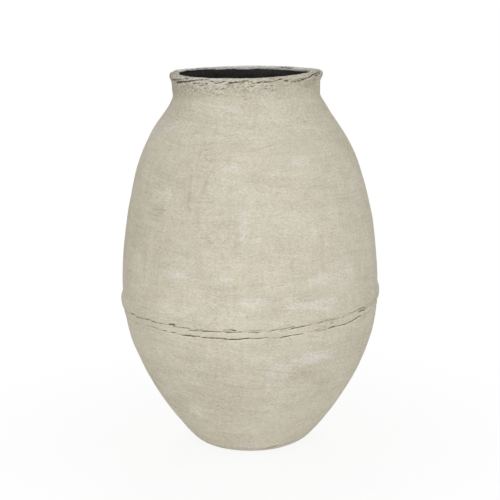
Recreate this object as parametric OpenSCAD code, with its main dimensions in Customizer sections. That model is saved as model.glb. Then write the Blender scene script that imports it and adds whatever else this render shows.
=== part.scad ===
// Tall hand-built jar planter. Two clay wall sections are lapped at the belly, under a rolled
// lip with a pressed strip below it. A base slab closes the foot, a collar and a rolled rim
// finish the mouth, a black coat seals the inside, and a rubber plug stops the drain hole.

/* [Overall] */
// Height from the floor to the crest of the rim
height = 720; // [600:1:880]
// Outer diameter of the wall at the belly
belly_d = 493.6; // [410:0.2:600]
// Height of the belly, where the wall stands upright
belly_z = 297; // [246:1:360]
// Thickness of the clay wall
wall = 16; // [12:0.1:20]

/* [Base] */
// Diameter of the flat face that the jar stands on
foot_d = 148; // [122:1:178]
// How far the rounded turn of the foot reaches out from the flat face
turn_reach = 45.4; // [36:0.2:55]
// Height of the rounded turn of the foot
turn_lift = 19.5; // [15:0.5:24]
// Outer diameter of the base slab, where the wall is joined to it
base_d = 190; // [184:1:228]
// Diameter of the shallow hollow under the base slab
hollow_d = 104; // [80:1:116]
// Depth of the shallow hollow under the base slab
hollow_h = 4; // [2:0.5:6]
// Diameter of the drain hole
drain_d = 24; // [16:0.5:32]

/* [Lower wall] */
// Angle of the wall above the foot, from the floor
lower_angle = 47.6; // [40:0.1:57]
// How far the lower wall holds that angle
lower_hold = 124; // [90:1:150]
// How far below the belly the lower wall turns upright
lower_bend = 78; // [60:1:100]

/* [Upper wall] */
// How far above the belly the upper wall stays upright
upper_hold = 95; // [75:1:115]
// Angle of the shoulder at the neck, from the floor
shoulder_angle = 52; // [43:0.1:62]
// How far the shoulder holds that angle
shoulder_hold = 111; // [90:1:135]

/* [Belly lap] */
// Height of the crease under the rolled lip
lap_z = 281; // [234:1:340]
// Overlap of the two wall sections above the crease
lap_h = 36; // [26:1:50]
// How far the rolled lip stands out from the wall
lip_proud = 4.4; // [3:0.1:8]
// Height from the crease to the widest part of the lip
lip_round = 17; // [12:0.5:22]
// Height over which the lip fades into the wall above
lip_fade = 20; // [14:0.5:30]
// Height of the pressed strip below the crease
strip_h = 14; // [9:0.5:20]
// How far the pressed strip stands out from the wall
strip_proud = 0.8; // [0.4:0.1:2]
// Depth of the crease lines beside the strip and under the rim
crease = 1.5; // [0.8:0.1:2]

/* [Neck and rim] */
// Outer diameter of the neck
neck_d = 279.6; // [232:0.2:340]
// Height of the neck collar below the rim
neck_h = 71; // [59:1:86]
// How far the foot of the neck flares out over the shoulder
flare_reach = 22.6; // [18:0.2:28]
// Height of that flare
flare_h = 39; // [32:0.5:47]
// How far the rim stands out from the neck
rim_proud = 4.6; // [2.5:0.1:7]
// Height over which the neck swells out to the rim's outer edge
swell_h = 16; // [14:0.5:20]
// Height of the rolled rim
rim_h = 12; // [10:0.5:14]
// Radius of the rim's outer edge
rim_round = 5; // [4:0.5:6]
// Radius of the rim's inner edge
mouth_round = 4; // [2.5:0.5:5]
// Width of the ridge on the collar that keys into the rim
ridge_w = 6; // [4:0.5:8]
// Height of that ridge
ridge_h = 4; // [2:0.5:6]

/* [Lining] */
// Thickness of the black sealing coat
lining_t = 2; // [1.5:0.1:3]
// Depth of the coat's upper edge below the crest of the rim
lining_drop = 6; // [5.5:0.5:8]

/* [Drain plug] */
// Gap between the plug's shank and the drain hole
plug_gap = 0.3; // [0.2:0.05:0.6]
// Depth of the shank's end above the hollow under the base
plug_lift = 1; // [0.5:0.1:2]
// Bevel at the end of the shank
plug_bevel = 1.5; // [1:0.1:3]
// Diameter of the plug's flange
flange_d = 44; // [36:0.5:54]
// Thickness of the plug's flange
flange_t = 4; // [3:0.5:6]
// Diameter of the stem between flange and knob
stem_d = 11; // [8:0.5:14]
// Height of the stem
stem_h = 7; // [5:0.5:10]
// Diameter of the knob
knob_d = 24; // [21:0.5:30]
// Height of the knob
knob_h = 9; // [7:0.5:12]

/* [Hidden] */

$fn = 160;
clay = [0.80, 0.77, 0.70];
strip_clay = [0.74, 0.70, 0.63];
coat = [0.12, 0.12, 0.13];
rubber = [0.16, 0.15, 0.15];

// Points along each curve of the wall, and round each small arc
curve_steps = 16;
arc_steps = 10;
// How closely a rounded turn keeps to its corner
turn_keep = 0.78;
flare_keep = 0.56;
// Share of a step within which a place is left out beside an end
near_share = 0.2;
// Halvings used to find a place on a curve
halvings = 40;

belly_r = belly_d / 2;
foot_r = foot_d / 2;
base_r = base_d / 2;
hollow_r = hollow_d / 2;
drain_r = drain_d / 2;
neck_r = neck_d / 2;
rim_r = neck_r + rim_proud;
bore_r = neck_r - wall;
mouth_r = bore_r - lining_t;

seat_z = height - rim_h;
roll_z = height - rim_round;
swell_z = roll_z - swell_h;
lining_z = height - lining_drop;
tongue_z = lap_z + lap_h;
strip_z = lap_z - strip_h;
lip_top = lap_z + lip_round + lip_fade;
floor_z = wall + lining_t;

function heading(angle) = [cos(angle), sin(angle)];

// The wall's outer face, as four cubic curves from the foot to the neck, each starting in the
// direction in which the one before it ends
turn_end = [foot_r + turn_reach, turn_lift];
turn_corner = [turn_end[0] - turn_lift / tan(lower_angle), 0];
neck_root = [neck_r + flare_reach, seat_z - neck_h];
neck_corner = [neck_r, neck_root[1] + flare_reach * tan(shoulder_angle)];
flare_end = [neck_r, neck_root[1] + flare_h];
belly = [belly_r, belly_z];

function rounded(from, corner, to, keep) =
    [from, from + keep * (corner - from), to + keep * (corner - to), to];

wall_curves = [
    rounded([foot_r, 0], turn_corner, turn_end, turn_keep),
    [turn_end, turn_end + lower_hold * heading(lower_angle), belly - [0, lower_bend], belly],
    [belly, belly + [0, upper_hold], neck_root + shoulder_hold * heading(-shoulder_angle), neck_root],
    rounded(neck_root, neck_corner, flare_end, flare_keep)
];

// Places along the wall run from 0 at the foot to 4 at the neck
TURN = 0;
SHOULDER_END = 3;
NECK = 4;

function on_cubic(p, t) =
    pow(1 - t, 3) * p[0] + 3 * pow(1 - t, 2) * t * p[1] + 3 * (1 - t) * t * t * p[2]
    + pow(t, 3) * p[3];
function along_cubic(p, t) =
    pow(1 - t, 2) * (p[1] - p[0]) + 2 * (1 - t) * t * (p[2] - p[1]) + t * t * (p[3] - p[2]);
function inward(v) = [-v[1], v[0]] / norm(v);

// A point of the wall at a place along it and a depth under its outer face
function on_wall(place, depth) =
    let (i = min(floor(place), NECK - 1), t = place - i)
    on_cubic(wall_curves[i], t) + depth * inward(along_cubic(wall_curves[i], t));

// The place where the wall, at a depth, reaches a radius (axis 0) or a height (axis 1)
function find(axis, value, depth, low, high, n = halvings) =
    n == 0 ? (low + high) / 2 :
    let (mid = (low + high) / 2)
    on_wall(mid, depth)[axis] < value ? find(axis, value, depth, mid, high, n - 1)
                                      : find(axis, value, depth, low, mid, n - 1);

function place_at(z, depth = 0) = find(1, z, depth, TURN, SHOULDER_END);
function wall_r(z) = on_wall(place_at(z), 0)[0];

base_place = find(0, base_r, 0, TURN, TURN + 1);
tongue_place = place_at(tongue_z, wall);

// Places from one end to the other, on the same steps for every piece, so that faces meet
function places(from, to) =
    let (near = near_share / curve_steps)
    [from,
     for (k = [ceil(from * curve_steps) : floor(to * curve_steps)])
         let (p = k / curve_steps)
         if (p > from + near && p < to - near) p,
     to];
function layer(depth, from, to) = [for (p = places(from, to)) on_wall(p, depth)];
function reversed(list) = [for (i = [len(list) - 1 : -1 : 0]) list[i]];
function without_last(list) = [for (i = [0 : len(list) - 2]) list[i]];

// The whole inner face at a depth, broken where the clay pieces meet
inner_stops = [TURN, base_place, tongue_place, SHOULDER_END, NECK];
function inner_layer(depth) = [
    on_wall(TURN, depth),
    for (i = [1 : len(inner_stops) - 1])
        let (run = layer(depth, inner_stops[i - 1], inner_stops[i]))
        for (j = [1 : len(run) - 1]) run[j]
];

// Part of an ellipse about a centre, from one angle to another
function arc(centre, rx, ry, from, to) =
    [for (i = [0 : arc_steps])
        let (a = from + (to - from) * i / arc_steps)
        centre + [rx * cos(a), ry * sin(a)]];

// Middle of the wall at the lap, where the two sections slide over each other
lap_r = wall_r(lap_z) - wall / 2;
ridge_r = neck_r - wall / 2;
ridge = arc([ridge_r, seat_z], ridge_w / 2, ridge_h, 0, 180);

module revolved(outline) {
    rotate_extrude()
        polygon(outline);
}

// Outer radius where the neck swells out to the rim, and points up that swelling
function swell_r(z) = neck_r + rim_proud * (1 - cos(180 * (z - swell_z) / swell_h)) / 2;
function swelling(from, to) = [for (i = [0 : arc_steps])
    let (z = from + (to - from) * i / arc_steps)
    [swell_r(z), z]];
under_rim = [swell_r(seat_z) - crease, seat_z];

module base_slab() {
    under = [[drain_r, hollow_h], [hollow_r - hollow_h, hollow_h], [hollow_r, 0]];
    outer = layer(0, TURN, base_place);
    inner = layer(wall, TURN, base_place);
    color(clay)
        revolved([each under, each outer, each reversed(inner), [drain_r, wall]]);
}

module lower_body() {
    outer = layer(0, base_place, place_at(strip_z));
    tongue = [[lap_r, strip_z], [lap_r, tongue_z]];
    inner = layer(wall, base_place, tongue_place);
    color(clay)
        revolved([each outer, each tongue, each reversed(inner)]);
}

// The strip is pressed on over the joint, so its face bulges a little, and both its edges dip
// into creases
module belly_band() {
    face = [for (i = [0 : arc_steps])
        let (z = strip_z + crease + (strip_h - 2 * crease) * i / arc_steps)
        [wall_r(z) + strip_proud * sin(180 * (z - strip_z) / strip_h), z]];
    color(strip_clay)
        revolved([[lap_r, strip_z], [wall_r(strip_z) - crease, strip_z], each face,
                  [wall_r(lap_z) - crease, lap_z], [lap_r, lap_z]]);
}

// The lip turns out from the crease in a quarter round and fades into the wall above
module upper_body() {
    under_lip = [for (i = [0 : arc_steps])
        let (a = 90 * i / arc_steps, z = lap_z + lip_round * (1 - cos(a)))
        [wall_r(z) + lip_proud * sin(a), z]];
    over_lip = [for (i = [1 : arc_steps - 1])
        let (share = i / arc_steps, z = lap_z + lip_round + lip_fade * share)
        [wall_r(z) + lip_proud * (1 + cos(180 * share)) / 2, z]];
    outer = layer(0, place_at(lip_top), SHOULDER_END);
    inner = layer(wall, tongue_place, SHOULDER_END);
    color(clay)
        revolved([[lap_r, lap_z], each under_lip, each over_lip, each outer,
                  each reversed(inner), [lap_r, tongue_z]]);
}

module neck_collar() {
    outer = layer(0, SHOULDER_END, NECK);
    inner = layer(wall, SHOULDER_END, NECK);
    color(clay)
        revolved([each outer, each swelling(swell_z, seat_z - crease), under_rim, each ridge,
                  [bore_r, seat_z], each reversed(inner)]);
}

// A coil rolled flat on top, keyed over the ridge. It goes on swelling out towards its outer edge
// above the crease, and its inner edge overhangs the coat.
module rim_coil() {
    outer_edge = arc([rim_r - rim_round, roll_z], rim_round, rim_round, 0, 90);
    inner_edge = arc([mouth_r + mouth_round, height - mouth_round], mouth_round, mouth_round, 90, 180);
    rise = without_last(swelling(seat_z + crease, roll_z));
    color(clay)
        revolved([each reversed(ridge), under_rim, each rise, each outer_edge, each inner_edge,
                  [mouth_r, lining_z], [bore_r, lining_z], [bore_r, seat_z]]);
}

module inner_lining() {
    outside = [each inner_layer(wall), [bore_r, seat_z], [bore_r, lining_z]];
    inside = [each inner_layer(floor_z), [mouth_r, lining_z]];
    color(coat)
        revolved([[drain_r, wall], each outside, each reversed(inside), [drain_r, floor_z]]);
}

module drain_plug() {
    shank_r = drain_r - plug_gap;
    tip_z = hollow_h + plug_lift;
    flange_r = flange_d / 2;
    stem_r = stem_d / 2;
    knob_r = knob_d / 2;
    flange_z = floor_z + flange_t;
    knob_z = flange_z + stem_h;
    edge_r = flange_t / 2;
    grip_r = knob_h / 2;
    shank = [[0, tip_z], [shank_r - plug_bevel, tip_z], [shank_r, tip_z + plug_bevel],
             [shank_r, floor_z]];
    flange = arc([flange_r - edge_r, floor_z + edge_r], edge_r, edge_r, -90, 90);
    stem = [[stem_r, flange_z], [stem_r, knob_z]];
    knob = arc([knob_r - grip_r, knob_z + grip_r], grip_r, grip_r, -90, 90);
    color(rubber)
        revolved([each shank, each flange, each stem, each knob, [0, knob_z + knob_h]]);
}

base_slab();
lower_body();
belly_band();
upper_body();
neck_collar();
rim_coil();
inner_lining();
drain_plug();
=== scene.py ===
"""Looks of a tall hand-built jar planter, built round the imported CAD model.

Lengths are in millimetres until a mesh is made, and in metres in materials and the studio. Angles
are in degrees round the jar: 0 is the side that the photograph shows and 90 the side to its right.
"""

import math

import bpy
import numpy as np
from mathutils import Euler, Matrix, Vector


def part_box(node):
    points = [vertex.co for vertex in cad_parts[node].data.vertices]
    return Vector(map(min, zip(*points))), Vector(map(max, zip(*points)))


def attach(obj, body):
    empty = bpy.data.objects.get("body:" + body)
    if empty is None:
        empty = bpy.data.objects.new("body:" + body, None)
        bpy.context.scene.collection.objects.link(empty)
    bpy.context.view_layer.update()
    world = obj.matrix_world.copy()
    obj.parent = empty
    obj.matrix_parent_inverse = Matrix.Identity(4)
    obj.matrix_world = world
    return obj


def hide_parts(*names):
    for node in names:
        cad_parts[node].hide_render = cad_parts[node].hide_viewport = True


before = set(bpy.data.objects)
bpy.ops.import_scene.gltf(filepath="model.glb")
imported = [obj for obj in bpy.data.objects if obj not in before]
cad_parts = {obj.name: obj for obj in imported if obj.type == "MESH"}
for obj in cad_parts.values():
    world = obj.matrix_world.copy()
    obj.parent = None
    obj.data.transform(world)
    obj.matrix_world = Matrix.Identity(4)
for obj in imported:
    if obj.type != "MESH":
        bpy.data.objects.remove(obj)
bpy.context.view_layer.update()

MM = 0.001


def bottom(node):
    """Lowest height of a CAD node."""
    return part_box(node)[0].z / MM


def top(node):
    """Highest height of a CAD node."""
    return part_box(node)[1].z / MM


# The jar's section: heights come from the frame, and the wall's curve is the CAD source's
HEIGHT = top("rim_coil")
SEAT_Z = bottom("rim_coil")
COAT_Z = top("inner_lining")
LAP_Z = bottom("upper_body")
TONGUE_Z = top("lower_body")
STRIP_Z = bottom("belly_band")
WALL = 16.0
COAT = 2.0
FOOT_R = 74.0
TURN_END = np.array([119.4, 19.5])
LOWER_ANGLE = 47.6
LOWER_HOLD = 124.0
LOWER_BEND = 78.0
BELLY = np.array([246.8, 297.0])
UPPER_HOLD = 95.0
SHOULDER_ANGLE = 52.0
SHOULDER_HOLD = 111.0
NECK_ROOT = np.array([162.4, 637.0])
NECK_R = 139.8
FLARE_END_Z = 676.0
TURN_KEEP = 0.78
FLARE_KEEP = 0.56
BASE_R = 95.0
HOLLOW_R = 52.0
HOLLOW_H = 4.0
DRAIN_R = 12.0
LIP_PROUD = 4.4
LIP_ROUND = 17.0
LIP_FADE = 20.0
STRIP_PROUD = 0.8
SWELL_H = 16.0
RIM_PROUD = 4.6
RIM_ROUND = 5.0
MOUTH_ROUND = 4.0
RIDGE_W = 6.0
RIDGE_H = 4.0

RIM_R = NECK_R + RIM_PROUD
BORE_R = NECK_R - WALL
MOUTH_R = BORE_R - COAT
ROLL_Z = HEIGHT - RIM_ROUND
SWELL_Z = ROLL_Z - SWELL_H
LIP_PEAK_Z = LAP_Z + LIP_ROUND
LIP_TOP_Z = LIP_PEAK_Z + LIP_FADE

# How finely curves are cut, and the faces round the jar
CURVE_POINTS = 400
BASE_COLUMNS = 296
WALL_COLUMNS = 592
NECK_COLUMNS = 1056
COAT_COLUMNS = 360
# The wall's rows are closer below this height and near the crease
FOOT_FINE_Z = 24.0
CREASE_FINE = 22.0


def heading(degrees):
    """Unit step at an angle above the floor, as radius and height."""
    return np.array([math.cos(math.radians(degrees)), math.sin(math.radians(degrees))])


def cubic(a, b, c, d):
    """Points along a cubic curve."""
    t = np.linspace(0, 1, CURVE_POINTS)[:, None]
    return (1 - t) ** 3 * a + 3 * (1 - t) ** 2 * t * b + 3 * (1 - t) * t**2 * c + t**3 * d


def rounded(start, corner, end, keep):
    """Points round a corner."""
    return cubic(start, start + keep * (corner - start), end + keep * (corner - end), end)


def wall_line():
    """The wall's outer face from the foot to the neck, as radius and height."""
    foot = np.array([FOOT_R, 0.0])
    turn_corner = np.array([TURN_END[0] - TURN_END[1] / math.tan(math.radians(LOWER_ANGLE)), 0.0])
    flare = NECK_ROOT[0] - NECK_R
    neck_corner = np.array([NECK_R, NECK_ROOT[1] + flare * math.tan(math.radians(SHOULDER_ANGLE))])
    flare_end = np.array([NECK_R, FLARE_END_Z])
    turn = rounded(foot, turn_corner, TURN_END, TURN_KEEP)
    lower = cubic(TURN_END, TURN_END + LOWER_HOLD * heading(LOWER_ANGLE),
                  BELLY - [0, LOWER_BEND], BELLY)
    upper = cubic(BELLY, BELLY + [0, UPPER_HOLD],
                  NECK_ROOT + SHOULDER_HOLD * heading(-SHOULDER_ANGLE), NECK_ROOT)
    neck = rounded(NECK_ROOT, neck_corner, flare_end, FLARE_KEEP)
    return np.concatenate([turn, lower[1:], upper[1:], neck[1:]])


def lengths_along(points):
    """Distance of each point along a line from its first point."""
    steps = np.hypot(*np.diff(points, axis=0).T)
    return np.concatenate([[0.0], np.cumsum(steps)])


LINE = wall_line()
LINE_S = lengths_along(LINE)
SLOPE = np.gradient(LINE, LINE_S, axis=0)
OUTWARD = np.stack([SLOPE[:, 1], -SLOPE[:, 0]], 1) / np.hypot(*SLOPE.T)[:, None]


def on_line(s, values):
    """Values of the wall's line at distances along it."""
    return np.stack([np.interp(s, LINE_S, values[:, 0]), np.interp(s, LINE_S, values[:, 1])], 1)


def on_wall(s, depth=0.0):
    """Points at distances along the wall and a depth under its outer face."""
    return on_line(s, LINE) - depth * on_line(s, OUTWARD)


def s_at_height(z, depth=0.0):
    """Distance along the wall at which it reaches a height, at a depth under its face."""
    return float(np.interp(z, LINE[:, 1] - depth * OUTWARD[:, 1], LINE_S))


def wall_r(z):
    """Radius of the wall's outer face at a height."""
    return np.interp(z, LINE[:, 1], LINE[:, 0])


def wall_push(z):
    """Direction in which relief stands out from the wall at each height."""
    return on_line(np.interp(z, LINE[:, 1], LINE_S), OUTWARD)


BASE_S = float(np.interp(BASE_R, LINE[:, 0], LINE_S))
NECK_ROOT_S = s_at_height(NECK_ROOT[1])
NECK_END_S = LINE_S[-1]
TONGUE_S = s_at_height(TONGUE_Z, WALL)
LAP_R = float(wall_r(LAP_Z)) - WALL / 2


def smooth(x):
    """Eases from 0 to 1."""
    x = np.clip(x, 0, 1)
    return x * x * (3 - 2 * x)


def ramp(x, low, high):
    """Eases from 0 at low to 1 at high."""
    return smooth((np.asarray(x, float) - low) / (high - low))


def bell(x, width):
    """A soft peak of height 1."""
    return np.exp(-((x / width) ** 2))


# Noise and curves that close round the jar
NOISE_TOP = 800.0
CURVE_STEP = 0.5
CURVE_BLUR = 7.0


def turned_noise(angle, height, cells_round, cell_high, seed):
    """Smooth noise from -1 to 1 over the jar's face, with no seam round it."""
    rows = int(NOISE_TOP / cell_high) + 4
    table = np.random.default_rng(seed).uniform(-1, 1, (rows, cells_round))
    u = angle / (2 * math.pi) % 1 * cells_round
    v = np.clip(np.asarray(height) / cell_high + 1, 0, rows - 2)
    i = np.floor(u).astype(int)
    j = np.floor(v).astype(int)
    a = smooth(u - i)
    b = smooth(v - j)
    i = i % cells_round
    after = (i + 1) % cells_round
    low = table[j, i] * (1 - a) + table[j, after] * a
    high = table[j + 1, i] * (1 - a) + table[j + 1, after] * a
    return low * (1 - b) + high * b


def mixed_noise(angle, height, rows):
    """A sum of noises, from rows of gain, cells round the jar, cell height and seed."""
    total = 0.0
    for gain, cells_round, cell_high, seed in rows:
        total = total + gain * turned_noise(angle, height, cells_round, cell_high, seed)
    return total


def round_curve(points, angle):
    """A smooth closed curve near (degrees, value) points, at angles in radians."""
    grid = np.arange(0, 360, CURVE_STEP)
    at, value = np.array(points, float).T
    spectrum = np.fft.rfft(np.interp(grid, at, value, period=360))
    spectrum *= np.exp(-0.5 * (math.radians(CURVE_BLUR) * np.arange(len(spectrum))) ** 2)
    return np.interp(np.degrees(angle), grid, np.fft.irfft(spectrum, len(grid)), period=360)


# How the hand-built form strays from the turned CAD shape: (angle, millimetres), and for the
# lean of the axis and the girth (height, millimetres)
CREASE_RISE = ((-90, -10.5), (-78, -8), (-70, -4.5), (-62, -1.2), (-50, 0.5), (-20, -3), (0, -1),
               (25, 4), (47, 8.5), (62, 9.5), (76, 6.5), (90, 2), (130, 2), (180, 1), (225, -4))
RIM_RISE = ((-90, -1), (-45, -1.5), (-15, -1.8), (0, -1.2), (15, 0.8), (35, 3), (55, 3.6),
            (72, 1.5), (95, -0.5), (130, -1.8), (180, -1.2), (225, 0), (250, 0))
CREST_RISE = ((-90, 0), (-60, -2), (-45, -1.8), (-25, -0.7), (-12, -0.5), (0, -1.1), (10, -2.3),
              (25, -3.5), (38, -3.8), (55, -3.3), (72, -2), (90, 0), (140, 0.5), (180, 0), (196, 0),
              (206, -1.3), (235, -1), (255, 0))
FOOT_TRIM = ((-90, 2.2), (-50, 1.2), (-20, 0.3), (0, 0), (30, -0.3), (50, -1.5), (75, 1.2), (95, 3),
             (180, 0.5))
MOUTH_WIDEN = ((-90, 5), (-45, 3), (0, 3), (45, 0), (90, 0), (180, 1), (225, 3))
AXIS_LEAN = ((0, 0), (60, 0), (110, 0.7), (170, 0.5), (255, 0), (285, -1), (310, -0.9), (340, -1.4),
             (400, -0.6), (450, -0.5), (520, -1.6), (560, -2.2), (590, -3.1), (615, -4.6),
             (645, -3.2), (659, -2.4), (674, -4.2), (690, -4.2), (706, -4.6), (720, -3.8), (760, -3.8))
GIRTH = ((0, 0), (235, 0), (264, -1.2), (280, -0.8), (298, -1.5), (330, 0), (400, -0.3),
         (440, -0.3), (500, -0.6), (550, 0.4), (590, -0.5), (630, -1.7), (658, 0.2), (676, -1.2),
         (692, -0.6), (706, 0.5), (722, -1.2), (760, -1))
HEIGHT_BLUR = 12
HEIGHT_RANGE = (-60.0, 820.0)
# Waves of the girth, as share, count and turn, and the heights between which they show
OUT_OF_ROUND = 0.5
GIRTH_WAVES = ((1.0, 2, 0.7), (0.5, 3, 2.0))
BODY_LOW = (40.0, 160.0)
BODY_HIGH = (560.0, 650.0)
# Heights over which each of the others comes in or fades
RISE_LOW = (140.0, 250.0)
RISE_HIGH = (330.0, 480.0)
RIM_RISE_BAND = (690.0, 712.0)
CREST_BAND = (708.0, 718.0)
WIDEN_BAND = (660.0, 712.0)
TRIM_BAND = (20.0, 62.0)


def height_curve(points, z):
    """A smooth curve near (height, value) points."""
    grid = np.arange(*HEIGHT_RANGE)
    line = np.interp(grid, *np.array(points, float).T)
    kernel = bell(np.arange(-3 * HEIGHT_BLUR, 3 * HEIGHT_BLUR + 1), HEIGHT_BLUR)
    eased = np.convolve(line, kernel / kernel.sum(), mode="same")
    return np.interp(z, grid, eased)


def form_shift(angle, r, z):
    """How far the form is moved sideways, up and outward at places on the jar."""
    near_crease = ramp(z, *RISE_LOW) * (1 - ramp(z, *RISE_HIGH))
    slide = round_curve(CREASE_RISE, angle) * near_crease
    up = slide + round_curve(RIM_RISE, angle) * ramp(z, *RIM_RISE_BAND)
    up = up + round_curve(CREST_RISE, angle) * ramp(z, *CREST_BAND)
    body = ramp(z, *BODY_LOW) * (1 - ramp(z, *BODY_HIGH))
    waves = sum(share * np.cos(count * angle + turn) for share, count, turn in GIRTH_WAVES)
    out = OUT_OF_ROUND * body * waves
    out = out + wall_r(z + slide) - wall_r(z)
    inner = (1 - ramp(r, BORE_R, RIM_R - RIM_ROUND)) * ramp(z, *WIDEN_BAND)
    out = out + inner * round_curve(MOUTH_WIDEN, angle) + height_curve(GIRTH, z)
    foot = ramp(r, HOLLOW_R, BASE_R) * (1 - ramp(z, *TRIM_BAND))
    out = out + foot * round_curve(FOOT_TRIM, angle)
    return height_curve(AXIS_LEAN, z), up, out


# Relief of the outer face: rows of gain, cells round the jar, cell height and seed
WALL_NOISE = ((0.7, 8, 130, 1), (0.45, 18, 55, 2), (0.28, 44, 22, 3), (0.10, 7, 8, 4),
              (0.15, 110, 11, 5))
NECK_NOISE = ((0.22, 46, 4, 6),)
RIM_NOISE = ((0.8, 26, 18, 8), (0.45, 70, 8, 9), (0.22, 220, 4, 10))
PIT_NOISE = ((0.4, 300, 3, 11),)
GRIT_NOISE = ((1.0, 230, 2.4, 61), (0.7, 410, 1.7, 62))
NECK_GRIT = 0.09
GRIT_SWAY = 4.0
GRIT_SWAYS = 4
GRIT_TURN = 0.6
RIM_SMOOTH = 0.6
# Heights over which each kind of relief comes in or fades
FOOT_BAND = (2.0, 40.0)
NECK_BAND = (655.0, 690.0)
GRIT_BAND = (674.0, 699.0)
SMOOTH_BAND = (690.0, 706.0)
RIM_BAND = (700.0, 712.0)
# How strong grit and the neck's painted shade are round the jar: angle and strength
GRIT_ROUND = ((-90, 0.6), (-50, 1), (5, 0.9), (25, 0.45), (60, 0.4), (90, 0.7), (180, 0.9),
              (250, 0.7))
CREST_GRIT = ((-90, 1), (-62, 0.7), (-40, 0.2), (40, 0.2), (62, 0.7), (90, 1), (180, 0.5))
NECK_SHADE_ROUND = ((-90, 2.4), (-60, 2), (-35, 0.2), (-5, 0), (8, 0.7), (22, 0.5), (45, 0.1), (75, 0),
              (180, 0.5), (250, 0.8))


def neck_grit(angle, level):
    """Coarse grit of the neck, in short flecks that rise and fall round the jar."""
    level = level - GRIT_SWAY * np.sin(GRIT_SWAYS * angle + GRIT_TURN)
    grit = mixed_noise(angle, level, GRIT_NOISE)
    return grit * round_curve(GRIT_ROUND, angle) * ramp(level, *GRIT_BAND)


def hand_relief(angle, level):
    """Unevenness left by hand and brush over the outer face."""
    wall = mixed_noise(angle, level, WALL_NOISE)
    neck = mixed_noise(angle, level, NECK_NOISE) + NECK_GRIT * neck_grit(angle, level)
    rim = mixed_noise(angle, level, RIM_NOISE)
    rim = rim + mixed_noise(angle, level, PIT_NOISE) * round_curve(CREST_GRIT, angle)
    relief = wall * ramp(level, *FOOT_BAND) * (1 - RIM_SMOOTH * ramp(level, *SMOOTH_BAND))
    relief = relief + neck * ramp(level, *NECK_BAND)
    return relief + rim * ramp(level, *RIM_BAND)


def turn_from(angle, degrees):
    """Angles measured from a place round the jar, between -pi and pi."""
    return (angle - math.radians(degrees) + math.pi) % (2 * math.pi) - math.pi


# Crack strokes: from angle, to angle, millimetres above the crease line at each end, strength.
# The front ones follow the photograph, and the others are drawn by a seeded generator.
UPPER_CRACKS = (
    (-85, -79, 11, 6.6, 0.8), (-79, -71, 6.6, 1, 0.8), (-65.5, -60, 2.4, 2, 0.9),
    (-60, -53, -2.7, -1.1, 0.5), (-53, -47.4, -1.1, 3.1, 0.6), (-48, -44, 0, -1.2, 0.8),
    (-44, -38.8, -1.2, 2.1, 0.5), (-36.5, -33, 2.8, 4.4, 1.2), (-34.2, -33.1, 1.2, 4.4, 0.9),
    (-34, -31.4, 1.2, -0.3, 0.7), (-31.4, -26, -0.3, 2.2, 0.7), (-27, -22, -2.5, -1.7, 0.8),
    (-22, -11.7, -1.7, 1.3, 0.55), (-11.3, -8, 3.8, 4.2, 0.6), (-8, -5.8, 4.2, 3, 1.0),
    (-10.3, -6.6, -1.2, -0.3, 0.7), (-6.6, -3.3, -0.3, -0.5, 0.6), (-1, 4.2, -1.8, -3.1, 0.5),
    (-0.4, 4.6, 2.5, 1.1, 0.35), (7.6, 12.3, -0.9, -0.5, 0.5), (12.3, 18.7, -0.5, 2, 0.7),
    (13, 17, -3.4, -3, 0.4), (16.5, 20, -2.2, -1, 1.0), (20, 26.7, -1.3, -0.9, 0.7),
    (29.8, 34.5, -0.8, 1.2, 0.6), (34.5, 39, 1.2, 0.4, 0.5), (36.4, 37.4, -6.4, -6.4, 1.0),
    (45.8, 51.6, 1.6, 2.8, 0.5), (51.6, 58, 2.8, 3.8, 0.8), (57, 61, 0, 2.5, 0.6),
    (58, 64.5, 3.8, 5.4, 0.5), (54.6, 60.5, -2.8, -3.2, 0.8), (64.5, 72, 5.4, 9.5, 0.5),
    (72, 88, 9.5, 20, 0.45), (61, 82, 0, 13, 0.3),
)
LOWER_CRACKS = (
    (-48.6, -44, 2.2, 2, 0.6), (-42.4, -39, 0, 1, 0.7), (-36.8, -33.9, 0.4, 1.4, 0.9),
    (-32.6, -30.4, 1.2, 0.2, 0.5), (-30.4, -21.5, 0.2, 2.3, 1.0), (-20.8, -11, 0.6, 1.1, 1.1),
    (-11, -9.6, 1.1, -0.4, 0.9), (-9.6, -6.3, -0.4, -0.5, 1.2), (-6.3, -0.4, -0.5, 1.5, 1.0),
    (-0.4, 7.3, 0.8, 0.1, 0.7), (7, 12, -1.4, -1.6, 0.25), (12.4, 17.2, -2.2, -1.3, 0.8),
    (17.2, 23, -1.3, -0.7, 0.7), (28.7, 35, -3.3, -1.2, 0.5), (35.2, 39.9, -1.2, -1.2, 0.8),
    (39.9, 45.5, -1.2, -2.6, 0.7), (45.5, 49.9, -2.6, -1.9, 0.8), (49.9, 56, -1.9, 2.8, 1.1),
)
# The same near the foot, in millimetres above the floor
FOOT_CRACKS = ((12, 19, 9.5, 13, 0.8), (18, 25.5, 12.5, 15, 1.2), (25.5, 44, 15, 17, 0.45))
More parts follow.
